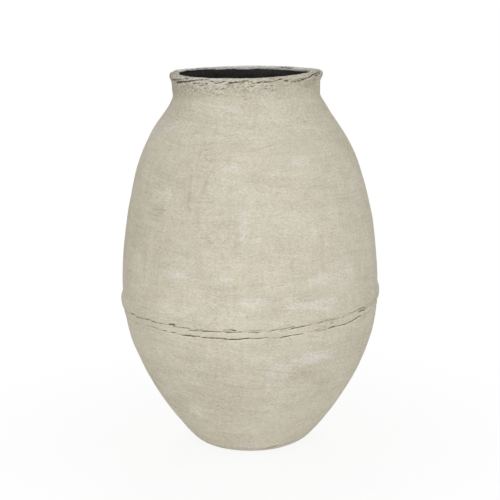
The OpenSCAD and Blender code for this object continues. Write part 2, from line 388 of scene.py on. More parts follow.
# The same under and over the rim, in millimetres above the rim's crease
RIM_CRACKS = (
    (-98, -91, 25, 27, 0.9), (-90, -84, 14, 9, 0.8), (-84, -80, 21, 19, 0.6),
    (-79, -75, 15, 17, 0.5), (-72, -69, 20, 21, 0.5), (-87, -83, 27, 29, 0.6),
    (-95, -90, 32, 31, 0.5), (-66, -63.5, 14, 13, 0.4), (-76.8, -76, 9, 0, 0.7),
    (-76, -55.5, 0.4, 8.7, 0.7), (-64.5, -48.6, -1.7, 4, 1.5), (-48.6, -40, 4, 9, 1.0),
    (-42.5, -35, 1.5, 2.8, 0.7), (-40, -32.5, 9.3, 11.5, 0.6), (-32.5, -27.5, 11.5, 10.5, 0.5),
    (-30.3, -28.4, 3.4, 1.8, 0.6), (-26, -23.6, 7.9, 7.4, 0.7), (-22.6, -19.8, 4.1, 4.7, 1.0),
    (-19.8, -14.5, 4.7, 7.8, 0.6), (-12.4, -9.5, 5.3, 4.6, 1.3), (-9.5, -6.9, 4.6, 7.2, 0.9),
    (-8, -0.9, 6.5, 7.4, 1.0), (-0.9, 2.7, 7.4, 8.6, 0.4), (-4.4, 2.7, 9.9, 9.6, 0.3),
    (3.4, 4.8, 7.9, 6.2, 0.6), (4.8, 8.4, 1.8, 3.1, 0.7), (8.2, 9.8, 3, 2.4, 1.1),
    (9.1, 11.2, 3.2, 4.8, 0.8), (11.2, 18.6, 4.8, 3, 1.1), (18.6, 20.9, 3, 5.2, 0.9),
    (20.9, 27.2, 5.2, 9.5, 0.9), (19.4, 21.6, 10.2, 8.7, 0.6), (17, 28, 12, 14.5, 0.4),
    (29.3, 32.3, 1.5, 0.7, 1.4), (35.2, 45.7, -1.6, -0.3, 0.5), (45.7, 51.1, -0.3, 2.7, 1.1),
    (51.1, 58.1, 2.7, 9.7, 1.3), (58.1, 68, 9.7, 13.5, 1.2), (67, 79, 13.5, 17.5, 1.0),
    (61, 68, 6.4, 9, 0.8), (68, 79, 9, 13.5, 0.9), (14.8, 15.6, -4.8, -4.8, 0.6),
    (19.6, 20.4, -12.5, -12.5, 0.7), (19, 19.9, -4.6, -4.6, 0.6), (1.2, 2.2, -5.8, -5.6, 0.5),
    (11, 12, -4.2, -4.2, 0.5), (131, 147, 21, 18.5, 0.6), (132, 141, 31, 31.8, 1.0),
    (140, 149, 31.4, 30.4, 0.8), (176, 186, 27, 28.5, 0.5), (198, 203, 31, 27, 0.9),
    (203, 216, 19, 17.5, 0.6), (203, 217, 31, 30, 0.8), (215, 237, 30.2, 30.6, 1.0),
    (206, 231, 23.5, 22, 0.6),
)
FRONT_CRACKS = (-86, 79)
# Drawn strokes: where the next one starts, as a share of the last one's length, and the length
# and climb of fine ones
NEXT_STROKE = (0.75, 1.1)
GRAIN_LENGTH = (1.5, 6)
GRAIN_CLIMB = (-0.8, 1.2)
# How a stroke wavers and breaks along its way: gain and cells round the jar, and cell height
WIGGLE = 0.5
WIGGLE_CELLS = ((1.0, 130), (0.9, 330))
WIGGLE_HIGH = 50
BROKEN = (0.85, 0.45)
BROKEN_CELLS = (260, 3)
CRACK_DEPTH = 1.7
CRACK_WIDTH = 0.95
RIM_CRACK_WIDTH = 1.45
CRACK_REACH = 9.0
TAPER_POWER = 0.4
# Start and gain of a crack's width and darkness
WIDTH_BY_STRENGTH = (0.45, 0.6)
WIDTH_BY_TAPER = (0.35, 0.65)
DARK_BY_STRENGTH = (0.25, 0.75)
# The painted highlight along a crack's lower edge, where that edge would catch the light, in widths of
# the crack
HIGHLIGHT_DROP = 2.6
HIGHLIGHT_WIDTH = 1.1
HIGHLIGHT_REACH = 4


def drawn_cracks(seed, gap, length, offset, climb, strength):
    """Strokes round the part of the jar that the photograph doesn't show."""
    draw = np.random.default_rng(seed)
    strokes = []
    angle = FRONT_CRACKS[1] + draw.uniform(0, gap)
    while angle < FRONT_CRACKS[0] + 360:
        reach = draw.uniform(*length)
        start = draw.uniform(-offset, offset)
        end = start + draw.uniform(*climb)
        strokes.append((angle, angle + reach, start, end, draw.uniform(*strength)))
        angle += reach * draw.uniform(*NEXT_STROKE) + draw.uniform(0, gap)
    return strokes


def grain_cracks(seed, count, offset, strength, middle=0.0):
    """Short fine strokes beside a crease, like the grain of split wood."""
    draw = np.random.default_rng(seed)
    strokes = []
    for _ in range(count):
        angle = draw.uniform(-180, 180)
        reach = draw.uniform(*GRAIN_LENGTH)
        start = draw.normal(middle, offset)
        end = start + draw.uniform(*GRAIN_CLIMB)
        strokes.append((angle, angle + reach, start, end, draw.uniform(*strength)))
    return strokes


UPPER_ALL = [
    *UPPER_CRACKS,
    *drawn_cracks(seed=21, gap=3, length=(4, 15), offset=2, climb=(-1, 3), strength=(0.4, 1.2)),
    *grain_cracks(seed=22, count=70, offset=2.5, strength=(0.15, 0.4)),
]
LOWER_ALL = [
    *LOWER_CRACKS,
    *drawn_cracks(seed=23, gap=4, length=(4, 13), offset=2, climb=(-1, 3), strength=(0.4, 1.1)),
    *grain_cracks(seed=24, count=60, offset=2, strength=(0.15, 0.4)),
]
RIM_ALL = [
    *RIM_CRACKS,
    *drawn_cracks(seed=25, gap=5, length=(4, 24), offset=3.5, climb=(-1.5, 7), strength=(0.35, 1.2)),
    *grain_cracks(seed=26, count=90, offset=3.5, strength=(0.15, 0.45)),
    *grain_cracks(seed=27, count=70, offset=5, strength=(0.15, 0.5), middle=21.0),
]


def scaled(pair, value):
    """A start plus a gain times a value."""
    return pair[0] + pair[1] * value


def crack_marks(angle, height, radius, strokes, seed, wide=CRACK_WIDTH, highlight=1.0):
    """Depth, darkness and painted highlight along the lower edge that crack strokes give a face."""
    shape = np.broadcast(angle, height).shape
    depth, dark, painted_highlight = np.zeros((3, *shape))
    angle = np.broadcast_to(angle, shape)
    rows = [(gain, cells, WIGGLE_HIGH, seed + k) for k, (gain, cells) in enumerate(WIGGLE_CELLS)]
    wiggle = WIGGLE * mixed_noise(angle, 0 * height, rows)
    broken = scaled(BROKEN, turned_noise(angle, height, *BROKEN_CELLS, seed + len(rows)))
    height = np.broadcast_to(height, shape) + wiggle
    for start, end, low, high, strength in strokes:
        u = turn_from(angle, (start + end) / 2)
        half = math.radians(end - start) / 2
        near = np.abs(u) < half + CRACK_REACH / radius
        near &= (height > min(low, high) - CRACK_REACH) & (height < max(low, high) + CRACK_REACH)
        if not near.any():
            continue
        x = u[near] * radius + half * radius
        y = height[near] - low
        length = 2 * half * radius
        rise = high - low
        t = np.clip((x * length + y * rise) / (length**2 + rise**2), 0, 1)
        over = y - t * rise
        away = np.hypot(x - t * length, over)
        taper = (4 * t * (1 - t)) ** TAPER_POWER
        width = wide * scaled(WIDTH_BY_STRENGTH, strength) * scaled(WIDTH_BY_TAPER, taper)
        mark = bell(away, width)
        # Painted highlight: a pale band just below the crack's line
        lower = bell(over + HIGHLIGHT_DROP * width, HIGHLIGHT_WIDTH * width) * taper
        for found, value in (
                (depth, CRACK_DEPTH * strength * mark),
                (dark, min(1.0, scaled(DARK_BY_STRENGTH, strength)) * mark),
                (painted_highlight, min(1.0, strength) * lower * (away < HIGHLIGHT_REACH * width))):
            found[near] = np.maximum(found[near], value)
    return depth, np.minimum(dark * broken, 1), highlight * painted_highlight


# Pale patches where the wash lies thick: angle, height, half width, half height, strength
FRONT_PATCHES = (
    (-8, 566, 14, 9, 0.8), (28, 572, 18, 11, 0.7), (-2, 468, 11, 27, 0.7), (-34, 377, 26, 9, 0.9),
    (-11, 376, 22, 9, 0.5), (32, 360, 30, 11, 0.9), (47, 366, 13, 12, 0.7), (1, 334, 24, 12, 0.8),
    (27, 318, 50, 8, 0.75), (32, 310, 28, 9, 0.8), (-34, 310, 30, 11, 0.4), (28, 215, 52, 13, 0.85),
    (12, 198, 26, 17, 0.7), (-35, 105, 16, 17, 0.6), (60, 515, 12, 20, 0.6), (-6, 621, 22, 12, 0.3),
    (29, 451, 11, 23, 0.35), (-48, 345, 22, 9, 0.4), (-2, 24, 24, 14, 0.7), (-8, 5, 62, 8, 0.8),
    (34, 9, 26, 8, 0.5), (-21, 216, 24, 8, 0.4), (40, 655, 16, 14, 0.5), (10, 174, 18, 20, 0.4),
    (4, 222, 26, 9, 0.4), (16, 333, 10, 7, 0.5), (-18, 334, 20, 8, 0.35), (-30, 708, 36, 8, 0.8),
    (-3, 715, 9, 5, 0.4), (2, 707, 8, 5, 0.5), (-13, 660, 30, 12, 0.45),
)
# Thin places where the clay darkens the wash, and in the last two painted shade under the rim on the
# right, in the same terms
FRONT_THIN_AND_SHADE = (
    (-43, 552, 50, 22, 0.7), (-50, 505, 38, 36, 0.5), (-38, 430, 80, 24, 0.5),
    (-11, 310, 54, 15, 0.7), (23, 202, 72, 34, 0.7), (20, 122, 52, 24, 0.7),
    (-19, 468, 22, 20, 0.6), (-11, 375, 22, 20, 0.6), (17, 688, 44, 15, 1.1), (0, 531, 36, 14, 0.5),
    # Painted shade under the rim on the right
    (56, 701, 26, 7, 2.5), (42, 706, 12, 6, 3),
)
# Patches drawn round the rest of the jar: how many, and the ranges of the same terms
PATCH_COUNT = 46
PATCH_RANGES = ((75, 285), (40, 660), (10, 40), (7, 22), (0.3, 0.95))
PATCH_EDGE = (0.4, 1.5)


def drawn_patches(seed):
    """Places for patches round the part of the jar that the photograph doesn't show."""
    draw = np.random.default_rng(seed)
    return [[draw.uniform(*limits) for limits in PATCH_RANGES] for _ in range(PATCH_COUNT)]


THICK_WASH = [*FRONT_PATCHES, *drawn_patches(seed=71)]
THIN_WASH_AND_SHADE = [*FRONT_THIN_AND_SHADE, *drawn_patches(seed=72)]


def patch_marks(angle, z, patches):
    """How strongly patches of the wash show at places on the jar."""
    found = np.zeros(np.broadcast(angle, z).shape)
    for at, height, wide, high, strength in patches:
        away = np.hypot(turn_from(angle, at) * wall_r(z) / wide, (z - height) / high)
        found = np.maximum(found, strength * (1 - ramp(away, *PATCH_EDGE)))
    return found


# Mesh pieces
def run(points, shown=False, push=None, level=None):
    """A stretch of a section: points, directions of relief, levels of relief, and if it shows."""
    points = np.array(points, float).reshape(-1, 2)
    push = np.zeros_like(points) if push is None else push
    level = points[:, 1] if level is None else level
    return points, push, level, np.full(len(points), shown)


def shown_wall(s):
    """A stretch of the wall's plain outer face."""
    return run(on_wall(s), True, on_line(s, OUTWARD))


def joined(*runs):
    """One closed section from its stretches."""
    return [np.concatenate(parts) for parts in zip(*runs)]


def arc(centre, rx, ry, start, end, count):
    """Points round part of an ellipse."""
    a = np.radians(np.linspace(start, end, count))
    return np.stack([centre[0] + rx * np.cos(a), centre[1] + ry * np.sin(a)], 1)


def pairs(r, z):
    """Points from radii and heights."""
    return np.stack(np.broadcast_arrays(r, z), 1)


def spaced(start, end, step):
    """Evenly spaced values that include both ends."""
    return np.linspace(start, end, max(2, int(round(abs(end - start) / step)) + 1))


def mark_sharp_rows(mesh, columns, faces_shown):
    """Marks the edges between shown and hidden faces as sharp."""
    ends = np.empty(len(mesh.edges) * 2, np.int32)
    mesh.edges.foreach_get("vertices", ends)
    rows = ends.reshape(-1, 2) // columns
    turning = faces_shown != np.roll(faces_shown, 1)
    sharp = (rows[:, 0] == rows[:, 1]) & turning[rows[:, 0]]
    mesh.edges.foreach_set("use_edge_sharp", sharp)


def ring_mesh(name, points, faces_shown, marks):
    """A closed mesh from a grid of points, rows round the section and columns round the jar."""
    rows, columns = points.shape[:2]
    mesh = bpy.data.meshes.new(name)
    index = np.arange(rows * columns).reshape(rows, columns)
    up = np.roll(index, -1, axis=0)
    quads = np.stack([index, np.roll(index, -1, axis=1), np.roll(up, -1, axis=1), up], -1)
    quads = quads.reshape(-1, 4)
    mesh.vertices.add(rows * columns)
    mesh.vertices.foreach_set("co", (points * MM).astype(np.float32).ravel())
    mesh.loops.add(quads.size)
    mesh.loops.foreach_set("vertex_index", quads.ravel().astype(np.int32))
    mesh.polygons.add(len(quads))
    mesh.polygons.foreach_set("loop_start", np.arange(0, quads.size, 4, dtype=np.int32))
    mesh.polygons.foreach_set("use_smooth", np.repeat(faces_shown, columns))
    for title, values in marks.items():
        layer = mesh.attributes.new(title, "FLOAT", "POINT")
        layer.data.foreach_set("value", values.astype(np.float32).ravel())
    mesh.update(calc_edges=True)
    mark_sharp_rows(mesh, columns, faces_shown)
    piece = bpy.data.objects.new(name, mesh)
    bpy.context.scene.collection.objects.link(piece)
    return piece


# Paint marks and creases of the outer face, with curves round the jar as angle and value
CREASE_GROOVE = 0.5
GROOVE_WIDTH = 0.9
# Strengths of the painted highlights below the upper cracks and the rim's cracks
UPPER_HIGHLIGHT = 0.8
RIM_HIGHLIGHT = 0.6
COAT_EDGE = ((0, 34), (90, 34), (115, 37), (128, 38), (146, 36), (164, 35), (180, 38.2),
             (195, 35.4), (215, 34.4), (240, 33.4), (270, 33.5))
COAT_RAGGED = 0.9
RAGGED_NOISE = ((1.0, 40, 50, 41), (0.6, 130, 50, 42))
COAT_SOFT = 0.5
# Painted highlights along the roll of the rim's crest and along its inner edge
CREST_HIGHLIGHT = ((-90, 0.1), (-66, 0.6), (-48, 1.1), (-20, 1), (0, 0.8), (30, 0.5), (60, 0.3),
              (90, 0.1), (180, 0.4))
CREST_HIGHLIGHT_LEVEL = 13.0
CREST_HIGHLIGHT_WIDTH = 4.5
INNER_EDGE_HIGHLIGHT = (26.0, 29.0)
# Step between heights whose grit is compared, to paint light and shade on each fleck as if lit from
# above
GRIT_LIGHT_STEP = 1.1
RIM_GRIT = 1.1
RIM_GRIT_BAND = (700.0, 710.0)
FOOT_GRIT = 0.3
FOOT_GRIT_BAND = (12.0, 60.0)
# Painted shade on the neck, strongest on its left side
NECK_SHADE = 0.8


def all_cracks(angle, z, level):
    """Depth, darkness and painted highlights along the lower edges of all the cracks."""
    crease_r = BELLY[0]
    sets = (crack_marks(angle, z - LAP_Z, crease_r, UPPER_ALL, seed=31, highlight=UPPER_HIGHLIGHT),
            crack_marks(angle, z - STRIP_Z, crease_r, LOWER_ALL, seed=33),
            crack_marks(angle, level - SEAT_Z, RIM_R, RIM_ALL, seed=35, wide=RIM_CRACK_WIDTH,
                        highlight=RIM_HIGHLIGHT),
            crack_marks(angle, z, BASE_R, FOOT_CRACKS, seed=38, highlight=0.0))
    return [np.max(found, axis=0) for found in zip(*sets)]


def rim_marks(angle, level):
    """The black coat down to its ragged edge, and the painted highlights along the rim's crest and
    inner edge.
    """
    height = level - SEAT_Z
    ragged = COAT_RAGGED * mixed_noise(angle, level, RAGGED_NOISE)
    coat = ramp(height - round_curve(COAT_EDGE, angle) - ragged, -COAT_SOFT, COAT_SOFT)
    # Painted highlight along the crest's roll, where it faces up to the light
    roll = bell(height - CREST_HIGHLIGHT_LEVEL, CREST_HIGHLIGHT_WIDTH) * round_curve(CREST_HIGHLIGHT, angle)
    return coat, np.maximum(ramp(height, *INNER_EDGE_HIGHLIGHT), roll)


def grit_marks(angle, level):
    """Painted light and shade of the neck's grit flecks, with the neck's painted shade, and how coarse
    the wash is.
    """
    # Painted shade on the neck
    neck_shade = round_curve(NECK_SHADE_ROUND, angle) * ramp(level, *NECK_BAND)
    # Painted light and shade from the slope of the grit's relief, as if lit from above
    painted_light_and_shade = neck_grit(angle, level - GRIT_LIGHT_STEP) - neck_grit(angle, level + GRIT_LIGHT_STEP)
    coarse = round_curve(GRIT_ROUND, angle) * ramp(level, *GRIT_BAND)
    coarse = coarse + RIM_GRIT * round_curve(CREST_GRIT, angle) * ramp(level, *RIM_GRIT_BAND)
    coarse = coarse + FOOT_GRIT * (1 - ramp(level, *FOOT_GRIT_BAND))
    return painted_light_and_shade - NECK_SHADE * neck_shade, coarse


def outer_marks(angle, z, level):
    """Relief of the outer face and its paint marks by name."""
    depth, crack, edges = all_cracks(angle, z, level)
    coat, painted_highlight = rim_marks(angle, level)
    painted_light_and_shade, coarse = grit_marks(angle, level)
    groove = np.maximum(bell(z - LAP_Z, GROOVE_WIDTH), bell(z - STRIP_Z, GROOVE_WIDTH))
    groove = np.maximum(groove, bell(level - SEAT_Z, GROOVE_WIDTH)) * CREASE_GROOVE
    marks = {"crack": crack, "painted_highlight": np.maximum(edges, painted_highlight), "coat": coat, "painted_light_and_shade": painted_light_and_shade,
             "coarse": coarse, "thick": patch_marks(angle, z, THICK_WASH),
             "thin_wash_and_shade": patch_marks(angle, z, THIN_WASH_AND_SHADE)}
    return hand_relief(angle, level) - np.maximum(depth, groove), marks


def turn_angles(columns):
    """Angles of the columns round the jar, as one row."""
    return np.linspace(0, 2 * math.pi, columns, endpoint=False)[None, :]


def jar_piece(node, points, shown, angle, out, up, marks):
    """A piece that stands for a CAD node: a turned section, moved out and up and bent to the form."""
    across, form_up, form_out = form_shift(angle, points[:, 0:1], points[:, 1:2])
    r = points[:, 0:1] + form_out + out
    high = points[:, 1:2] + form_up + up
    place = np.stack([r * np.sin(angle) + across, -r * np.cos(angle), high], -1)
    piece = ring_mesh(node + "_looks", place, shown & np.roll(shown, -1), marks)
    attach(piece, "jar")
    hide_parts(node)
    return piece


def clay_piece(node, section, columns):
    """A clay piece with the relief and paint marks of its outer face."""
    points, push, level, shown = section
    angle = turn_angles(columns)
    shape = (len(points), columns)
    relief = np.zeros(shape)
    relief[shown], found = outer_marks(angle, points[shown, 1:2], level[shown][:, None])
    marks = {title: np.zeros(shape) for title in found}
    for title, values in found.items():
        marks[title][shown] = values
    return jar_piece(node, points, shown, angle, relief * push[:, 0:1], relief * push[:, 1:2], marks)


def inner_run(start, end, step=14.0):
    """A hidden stretch along the wall's inner face."""
    return run(on_wall(spaced(start, end, step), WALL))


def base_slab():
    """The slab that closes the foot, with the hollow under it and the drain hole."""
    under = [(DRAIN_R, HOLLOW_H), (HOLLOW_R - HOLLOW_H, HOLLOW_H), (HOLLOW_R, 0.0)]
    outer = spaced(0, BASE_S, step=2.0)
    return joined(run(under, True), shown_wall(outer), inner_run(BASE_S, 0, step=6.0),
                  run([(DRAIN_R, WALL)]))


def lower_body():
    """The lower wall from the slab to the crease, with its tongue."""
    foot_s = s_at_height(FOOT_FINE_Z)
    fine_s = s_at_height(STRIP_Z - CREASE_FINE)
    outer = np.concatenate([spaced(BASE_S, foot_s, step=1.8)[:-1],
                            spaced(foot_s, fine_s, step=3.4)[:-1],
                            spaced(fine_s, s_at_height(STRIP_Z), step=0.75)])
    tongue = [(LAP_R, STRIP_Z), (LAP_R, TONGUE_Z)]
    return joined(shown_wall(outer), run(tongue), inner_run(TONGUE_S, BASE_S))


def belly_band():
    """The pressed strip between the two creases."""
    z = spaced(STRIP_Z, LAP_Z, step=0.5)
    share = (z - STRIP_Z) / (LAP_Z - STRIP_Z)
    face = pairs(wall_r(z) + STRIP_PROUD * np.sin(math.pi * share), z)
    return joined(run([(LAP_R, STRIP_Z)]), run(face, True, wall_push(z)), run([(LAP_R, LAP_Z)]))


def upper_body():
    """The upper wall from its rolled lip to the shoulder."""
    a = np.linspace(0, math.pi / 2, num=26)
    under_z = LAP_Z + LIP_ROUND * (1 - np.cos(a))
    under = pairs(wall_r(under_z) + LIP_PROUD * np.sin(a), under_z)
    over_z = spaced(LIP_PEAK_Z, LIP_TOP_Z, step=1.2)[1:]
    fade = (1 + np.cos(math.pi * (over_z - LIP_PEAK_Z) / LIP_FADE)) / 2
    over = pairs(wall_r(over_z) + LIP_PROUD * fade, over_z)
    outer = spaced(s_at_height(LIP_TOP_Z), NECK_ROOT_S, step=3.4)[1:]
    return joined(run(under, True, wall_push(under_z)), run(over, True, wall_push(over_z)),
                  shown_wall(outer), inner_run(NECK_ROOT_S, TONGUE_S),
                  run([(LAP_R, TONGUE_Z), (LAP_R, LAP_Z)]))


def swell_r(z):
    """Radius where the neck swells out to the rim."""
    share = np.clip((z - SWELL_Z) / SWELL_H, 0, 1)
    return NECK_R + RIM_PROUD * (1 - np.cos(math.pi * share)) / 2


RIDGE = arc((NECK_R - WALL / 2, SEAT_Z), RIDGE_W / 2, RIDGE_H, 0, 180, count=7)


def neck_collar():
    """The short neck, with the ridge that keys the rim."""
    outer = spaced(NECK_ROOT_S, NECK_END_S, step=1.2)
    z = spaced(FLARE_END_Z, SEAT_Z, step=0.8)[1:]
    radial = np.tile([1.0, 0.0], (len(z), 1))
    return joined(shown_wall(outer), run(pairs(swell_r(z), z), True, radial), run(RIDGE),
                  run([(BORE_R, SEAT_Z)]), inner_run(NECK_END_S, NECK_ROOT_S, step=8.0))


# The rim: bare clay over the coat's edge, and where its relief is pushed out from
BARE_EDGE = 1.0
CORE_RISE = 2.0
PUSH_RISE = 5.0


def rim_face():
    """The rim's visible face, from its crease over the crest to the coat."""
    z = spaced(SEAT_Z, ROLL_Z, step=0.7)
    outer_centre = (RIM_R - RIM_ROUND, ROLL_Z)
    inner_centre = (MOUTH_R + MOUTH_ROUND, HEIGHT - MOUTH_ROUND)
    outer_edge = arc(outer_centre, RIM_ROUND, RIM_ROUND, 0, 90, count=12)
    crest = pairs(spaced(outer_centre[0], inner_centre[0], step=0.9)[1:-1], HEIGHT)
    inner_edge = arc(inner_centre, MOUTH_ROUND, MOUTH_ROUND, 90, 180, count=10)
    lip = [(MOUTH_R, COAT_Z + BARE_EDGE), (MOUTH_R, COAT_Z)]
    return np.concatenate([pairs(swell_r(z), z), outer_edge[1:], crest, inner_edge, lip])


def rim_coil():
    """The rolled rim, keyed over the collar's ridge."""
    face = rim_face()
    level = SEAT_Z + lengths_along(face)
    push = face - np.array([NECK_R - WALL / 2, SEAT_Z + CORE_RISE])
    push[:, 1] *= ramp(face[:, 1], SEAT_Z, SEAT_Z + PUSH_RISE)
    push /= np.hypot(*push.T)[:, None]
    hidden = [(BORE_R, COAT_Z), (BORE_R, SEAT_Z)]
    return joined(run(face, True, push, level), run(hidden), run(RIDGE[::-1]))


# Clay pieces: CAD node, section and columns
CLAY_PIECES = (
    ("base_slab", base_slab, BASE_COLUMNS),
    ("lower_body", lower_body, WALL_COLUMNS),
    ("belly_band", belly_band, WALL_COLUMNS),
    ("upper_body", upper_body, WALL_COLUMNS),
    ("neck_collar", neck_collar, NECK_COLUMNS),
    ("rim_coil", rim_coil, NECK_COLUMNS),
)

# The lining's unevenness, and the heights over which it comes in and fades
COAT_NOISE = ((0.35, 30, 26, 51), (0.2, 80, 9, 52))
UNEVEN_LOW = (WALL + COAT + 2, 60.0)
UNEVEN_HIGH = (COAT_Z - 14, COAT_Z - 2)


def inner_lining():
    """The coat inside the jar, from its edge in the mouth to the drain hole."""
    floor_z = WALL + COAT
    neck = pairs(MOUTH_R, spaced(COAT_Z, FLARE_END_Z, step=4.0)[:-1])
    inside = on_wall(spaced(NECK_END_S, 0, step=6.0), floor_z)
    floor = pairs(spaced(FOOT_R, DRAIN_R, step=6.0)[1:], floor_z)
    points, _, _, shown = joined(
        run([(DRAIN_R, WALL)]), inner_run(0, NECK_END_S), run([(BORE_R, SEAT_Z), (BORE_R, COAT_Z)]),
        run(np.concatenate([neck, inside, floor]), True))
    angle = turn_angles(COAT_COLUMNS)
    z = points[:, 1:2]
    uneven = mixed_noise(angle, z, COAT_NOISE) * shown[:, None]
    uneven = uneven * ramp(z, *UNEVEN_LOW) * (1 - ramp(z, *UNEVEN_HIGH))
    return jar_piece("inner_lining", points, shown, angle, uneven, 0.0, {})


# Materials
def linear(red, green, blue):
    """A colour given as it looks on screen, from 0 to 255, as shader values."""
    values = [channel / 255 for channel in (red, green, blue)]
    return tuple(v / 12.92 if v <= 0.04045 else ((v + 0.055) / 1.055) ** 2.4 for v in values) + (1.0,)


class Nodes:
    """A node tree, built a node at a time."""

    def __init__(self, tree):
        self.tree = tree

    def add(self, kind, inputs=None, **settings):
        """A node with its settings, and its inputs linked or set."""
        node = self.tree.nodes.new(kind)
        for key, value in settings.items():
            setattr(node, key, value)
        for key, value in (inputs or {}).items():
            self.feed(node.inputs[key], value)
        return node

    def feed(self, socket, value):
        """Links or sets one input."""
        if isinstance(value, bpy.types.NodeSocket):
            self.tree.links.new(value, socket)
        else:
            socket.default_value = value

    def math(self, operation, a, b=0.0, c=0.0):
        """A sum on numbers."""
        made = self.add("ShaderNodeMath", {0: a, 1: b, 2: c}, operation=operation)
        return made.outputs["Value"]

    def spread(self, value, low, high, to_low=0.0, to_high=1.0, interpolation="LINEAR"):
        """A value mapped from one range to another, and held there."""
        made = self.add("ShaderNodeMapRange", {
            "Value": value, "From Min": low, "From Max": high, "To Min": to_low, "To Max": to_high},
            interpolation_type=interpolation)
        return made.outputs["Result"]


# Places of the colours among the sockets of a Mix node
MIX_FIRST = 6
MIX_SECOND = 7
MIX_RESULT = 2


class Paint(Nodes):
    """A node material for the jar."""

    def __init__(self, name):
        self.material = bpy.data.materials.new(name)
        self.material.use_nodes = True
        super().__init__(self.material.node_tree)
        self.shader = self.tree.nodes["Principled BSDF"]
        self.place = self.add("ShaderNodeTexCoord").outputs["Object"]

    def noise(self, across, up, detail=3.0, roughness=0.55, shift=0.0, warp=0.0, tilt=0.0):
        """Noise of a size across and up, in cycles per metre, with its strokes tilted."""
        turned = self.add("ShaderNodeVectorRotate", {"Vector": self.place, "Angle": tilt},
                          rotation_type="Y_AXIS")
        placed = self.add("ShaderNodeMapping", {"Vector": turned.outputs["Vector"],
                                                "Scale": (across, across, up),
                                                "Location": (shift, 2 * shift, 3 * shift)})
        made = self.add("ShaderNodeTexNoise", {
            "Vector": placed.outputs["Vector"], "Scale": 1.0, "Detail": detail,
            "Roughness": roughness, "Distortion": warp})
        return made.outputs["Fac"]

    def dot(self, direction):
        """How far a place lies along a direction."""
        made = self.add("ShaderNodeVectorMath", {0: self.place, 1: direction},
                        operation="DOT_PRODUCT")
        return made.outputs["Value"]

    def product(self, value, *others):
        """Numbers multiplied together."""
        for other in others:
            value = self.math("MULTIPLY", value, other)
        return value

    def raised(self, value, *terms):
        """A value plus others, each times a gain."""
        for other, gain in terms:
            value = self.math("MULTIPLY_ADD", other, gain, value)
        return value

    def total(self, start, *terms):
        """A start value plus noises about their middle, each times a gain."""
        return self.raised(start - sum(gain for _, gain in terms) / 2, *terms)

    def mix(self, share, a, b):
        """A colour between two others."""
        made = self.add("ShaderNodeMix", {"Factor": share, MIX_FIRST: a, MIX_SECOND: b},
                        data_type="RGBA")
        return made.outputs[MIX_RESULT]

    def ramp(self, value, stops):
        """A colour from a row of (position, colour) stops."""
        made = self.add("ShaderNodeValToRGB", {"Fac": value})
        row = made.color_ramp.elements
        while len(row) < len(stops):
            row.new(0.5)
        for element, (position, colour) in zip(row, stops):
            element.position = position
            element.color = colour
        return made.outputs["Color"]

    def mark(self, title):
        """A painted mark of the mesh."""
        return self.add("ShaderNodeAttribute", attribute_name=title).outputs["Fac"]

    def finish(self, colour, roughness, height, bump, specular):
        """Joins colour, roughness and relief to the shader."""
        relief = self.add("ShaderNodeBump", {"Height": height, "Strength": 1.0, "Distance": bump})
        self.feed(self.shader.inputs["Base Color"], colour)
        self.feed(self.shader.inputs["Roughness"], roughness)
        self.feed(self.shader.inputs["Normal"], relief.outputs["Normal"])
        self.shader.inputs["Specular IOR Level"].default_value = specular
        return self.material


# Colours of the wash, its painted highlights and shade, the cracks, the coat and the plug
WASH_DARK = linear(172, 165, 147)
WASH_MID = linear(206, 199, 181)
WASH_PALE = linear(232, 226, 209)
LILAC_DARK = linear(208, 203, 196)
LILAC_PALE = linear(240, 235, 230)
WASH_GREEN = linear(203, 201, 182)
WASH_BROWN = linear(188, 177, 154)
HIGHLIGHT_CHALK = linear(230, 227, 219)
BACK_CREST_HIGHLIGHT = linear(238, 238, 235)
CRACK_BROWN = linear(118, 107, 84)
CRACK_CLAY = linear(58, 51, 42)
# Clay in pits and scratches, also the painted shade in the grit's hollows
PIT_CLAY_AND_GRIT_SHADE = linear(120, 110, 92)
COAT_BLACK = linear(20, 20, 19)
COAT_GREY = linear(66, 66, 63)
RUBBER_DARK = linear(44, 42, 41)
RUBBER_PALE = linear(74, 71, 68)
# Directions in the photograph
LEFT = (-1, 0, 0)
BACK = (0, 1, 0)
UP = (0, 0, 1)
# Heights between which the coat grows paler towards the mouth, and how much
COAT_PALER_BAND = (0.690, 0.716)
COAT_PALER_TONE = 0.6
# Noises of the wash: cycles per metre across and up, detail, roughness, shift, warp and tilt
WASH_NOISE = {
    "patch": (4.5, 5.5, 2.0),
    "cloud": (18, 24, 3.0, 0.55, 3.1),
    "mottle": (66, 110, 3.0, 0.6, 7.7, 0.5),
    "across": (26, 300, 3.0, 0.55, 5.7, 0.4, 0.06),
    "slant": (16, 210, 3.0, 0.55, 8.9, 0.4, -0.16),
    "region": (9, 11, 2.0, 0.55, 14.3),
    "down": (120, 11, 3.0, 0.55, 1.7, 0.4),
    "stroke": (9, 95, 3.0, 0.55, 41.9, 0.5, -0.05),
    "smear": (20, 190, 3.0, 0.6, 51.3, 0.4, -0.3),
    "grain": (220, 600, 2.0, 0.75),
    "grit": (210, 620, 3.0, 0.75, 33.3, 0.2, -0.08),
    "green": (9, 12, 3.0, 0.55, 17.5),
    "streak": (36, 4.5, 3.0, 0.55, 37.7, 0.3),
    "lilac": (8, 13, 3.0, 0.55, 12.5),
    "chosen": (30, 30, 1.0, 0.55, 21.5),
    "hairline": (26, 75, 2.0, 0.55, 25.1),
    "rough": (13, 17, 2.0, 0.55, 29.9),
}
WASH_MARKS = ("crack", "painted_highlight", "coat", "painted_light_and_shade", "coarse", "thick", "thin_wash_and_shade")
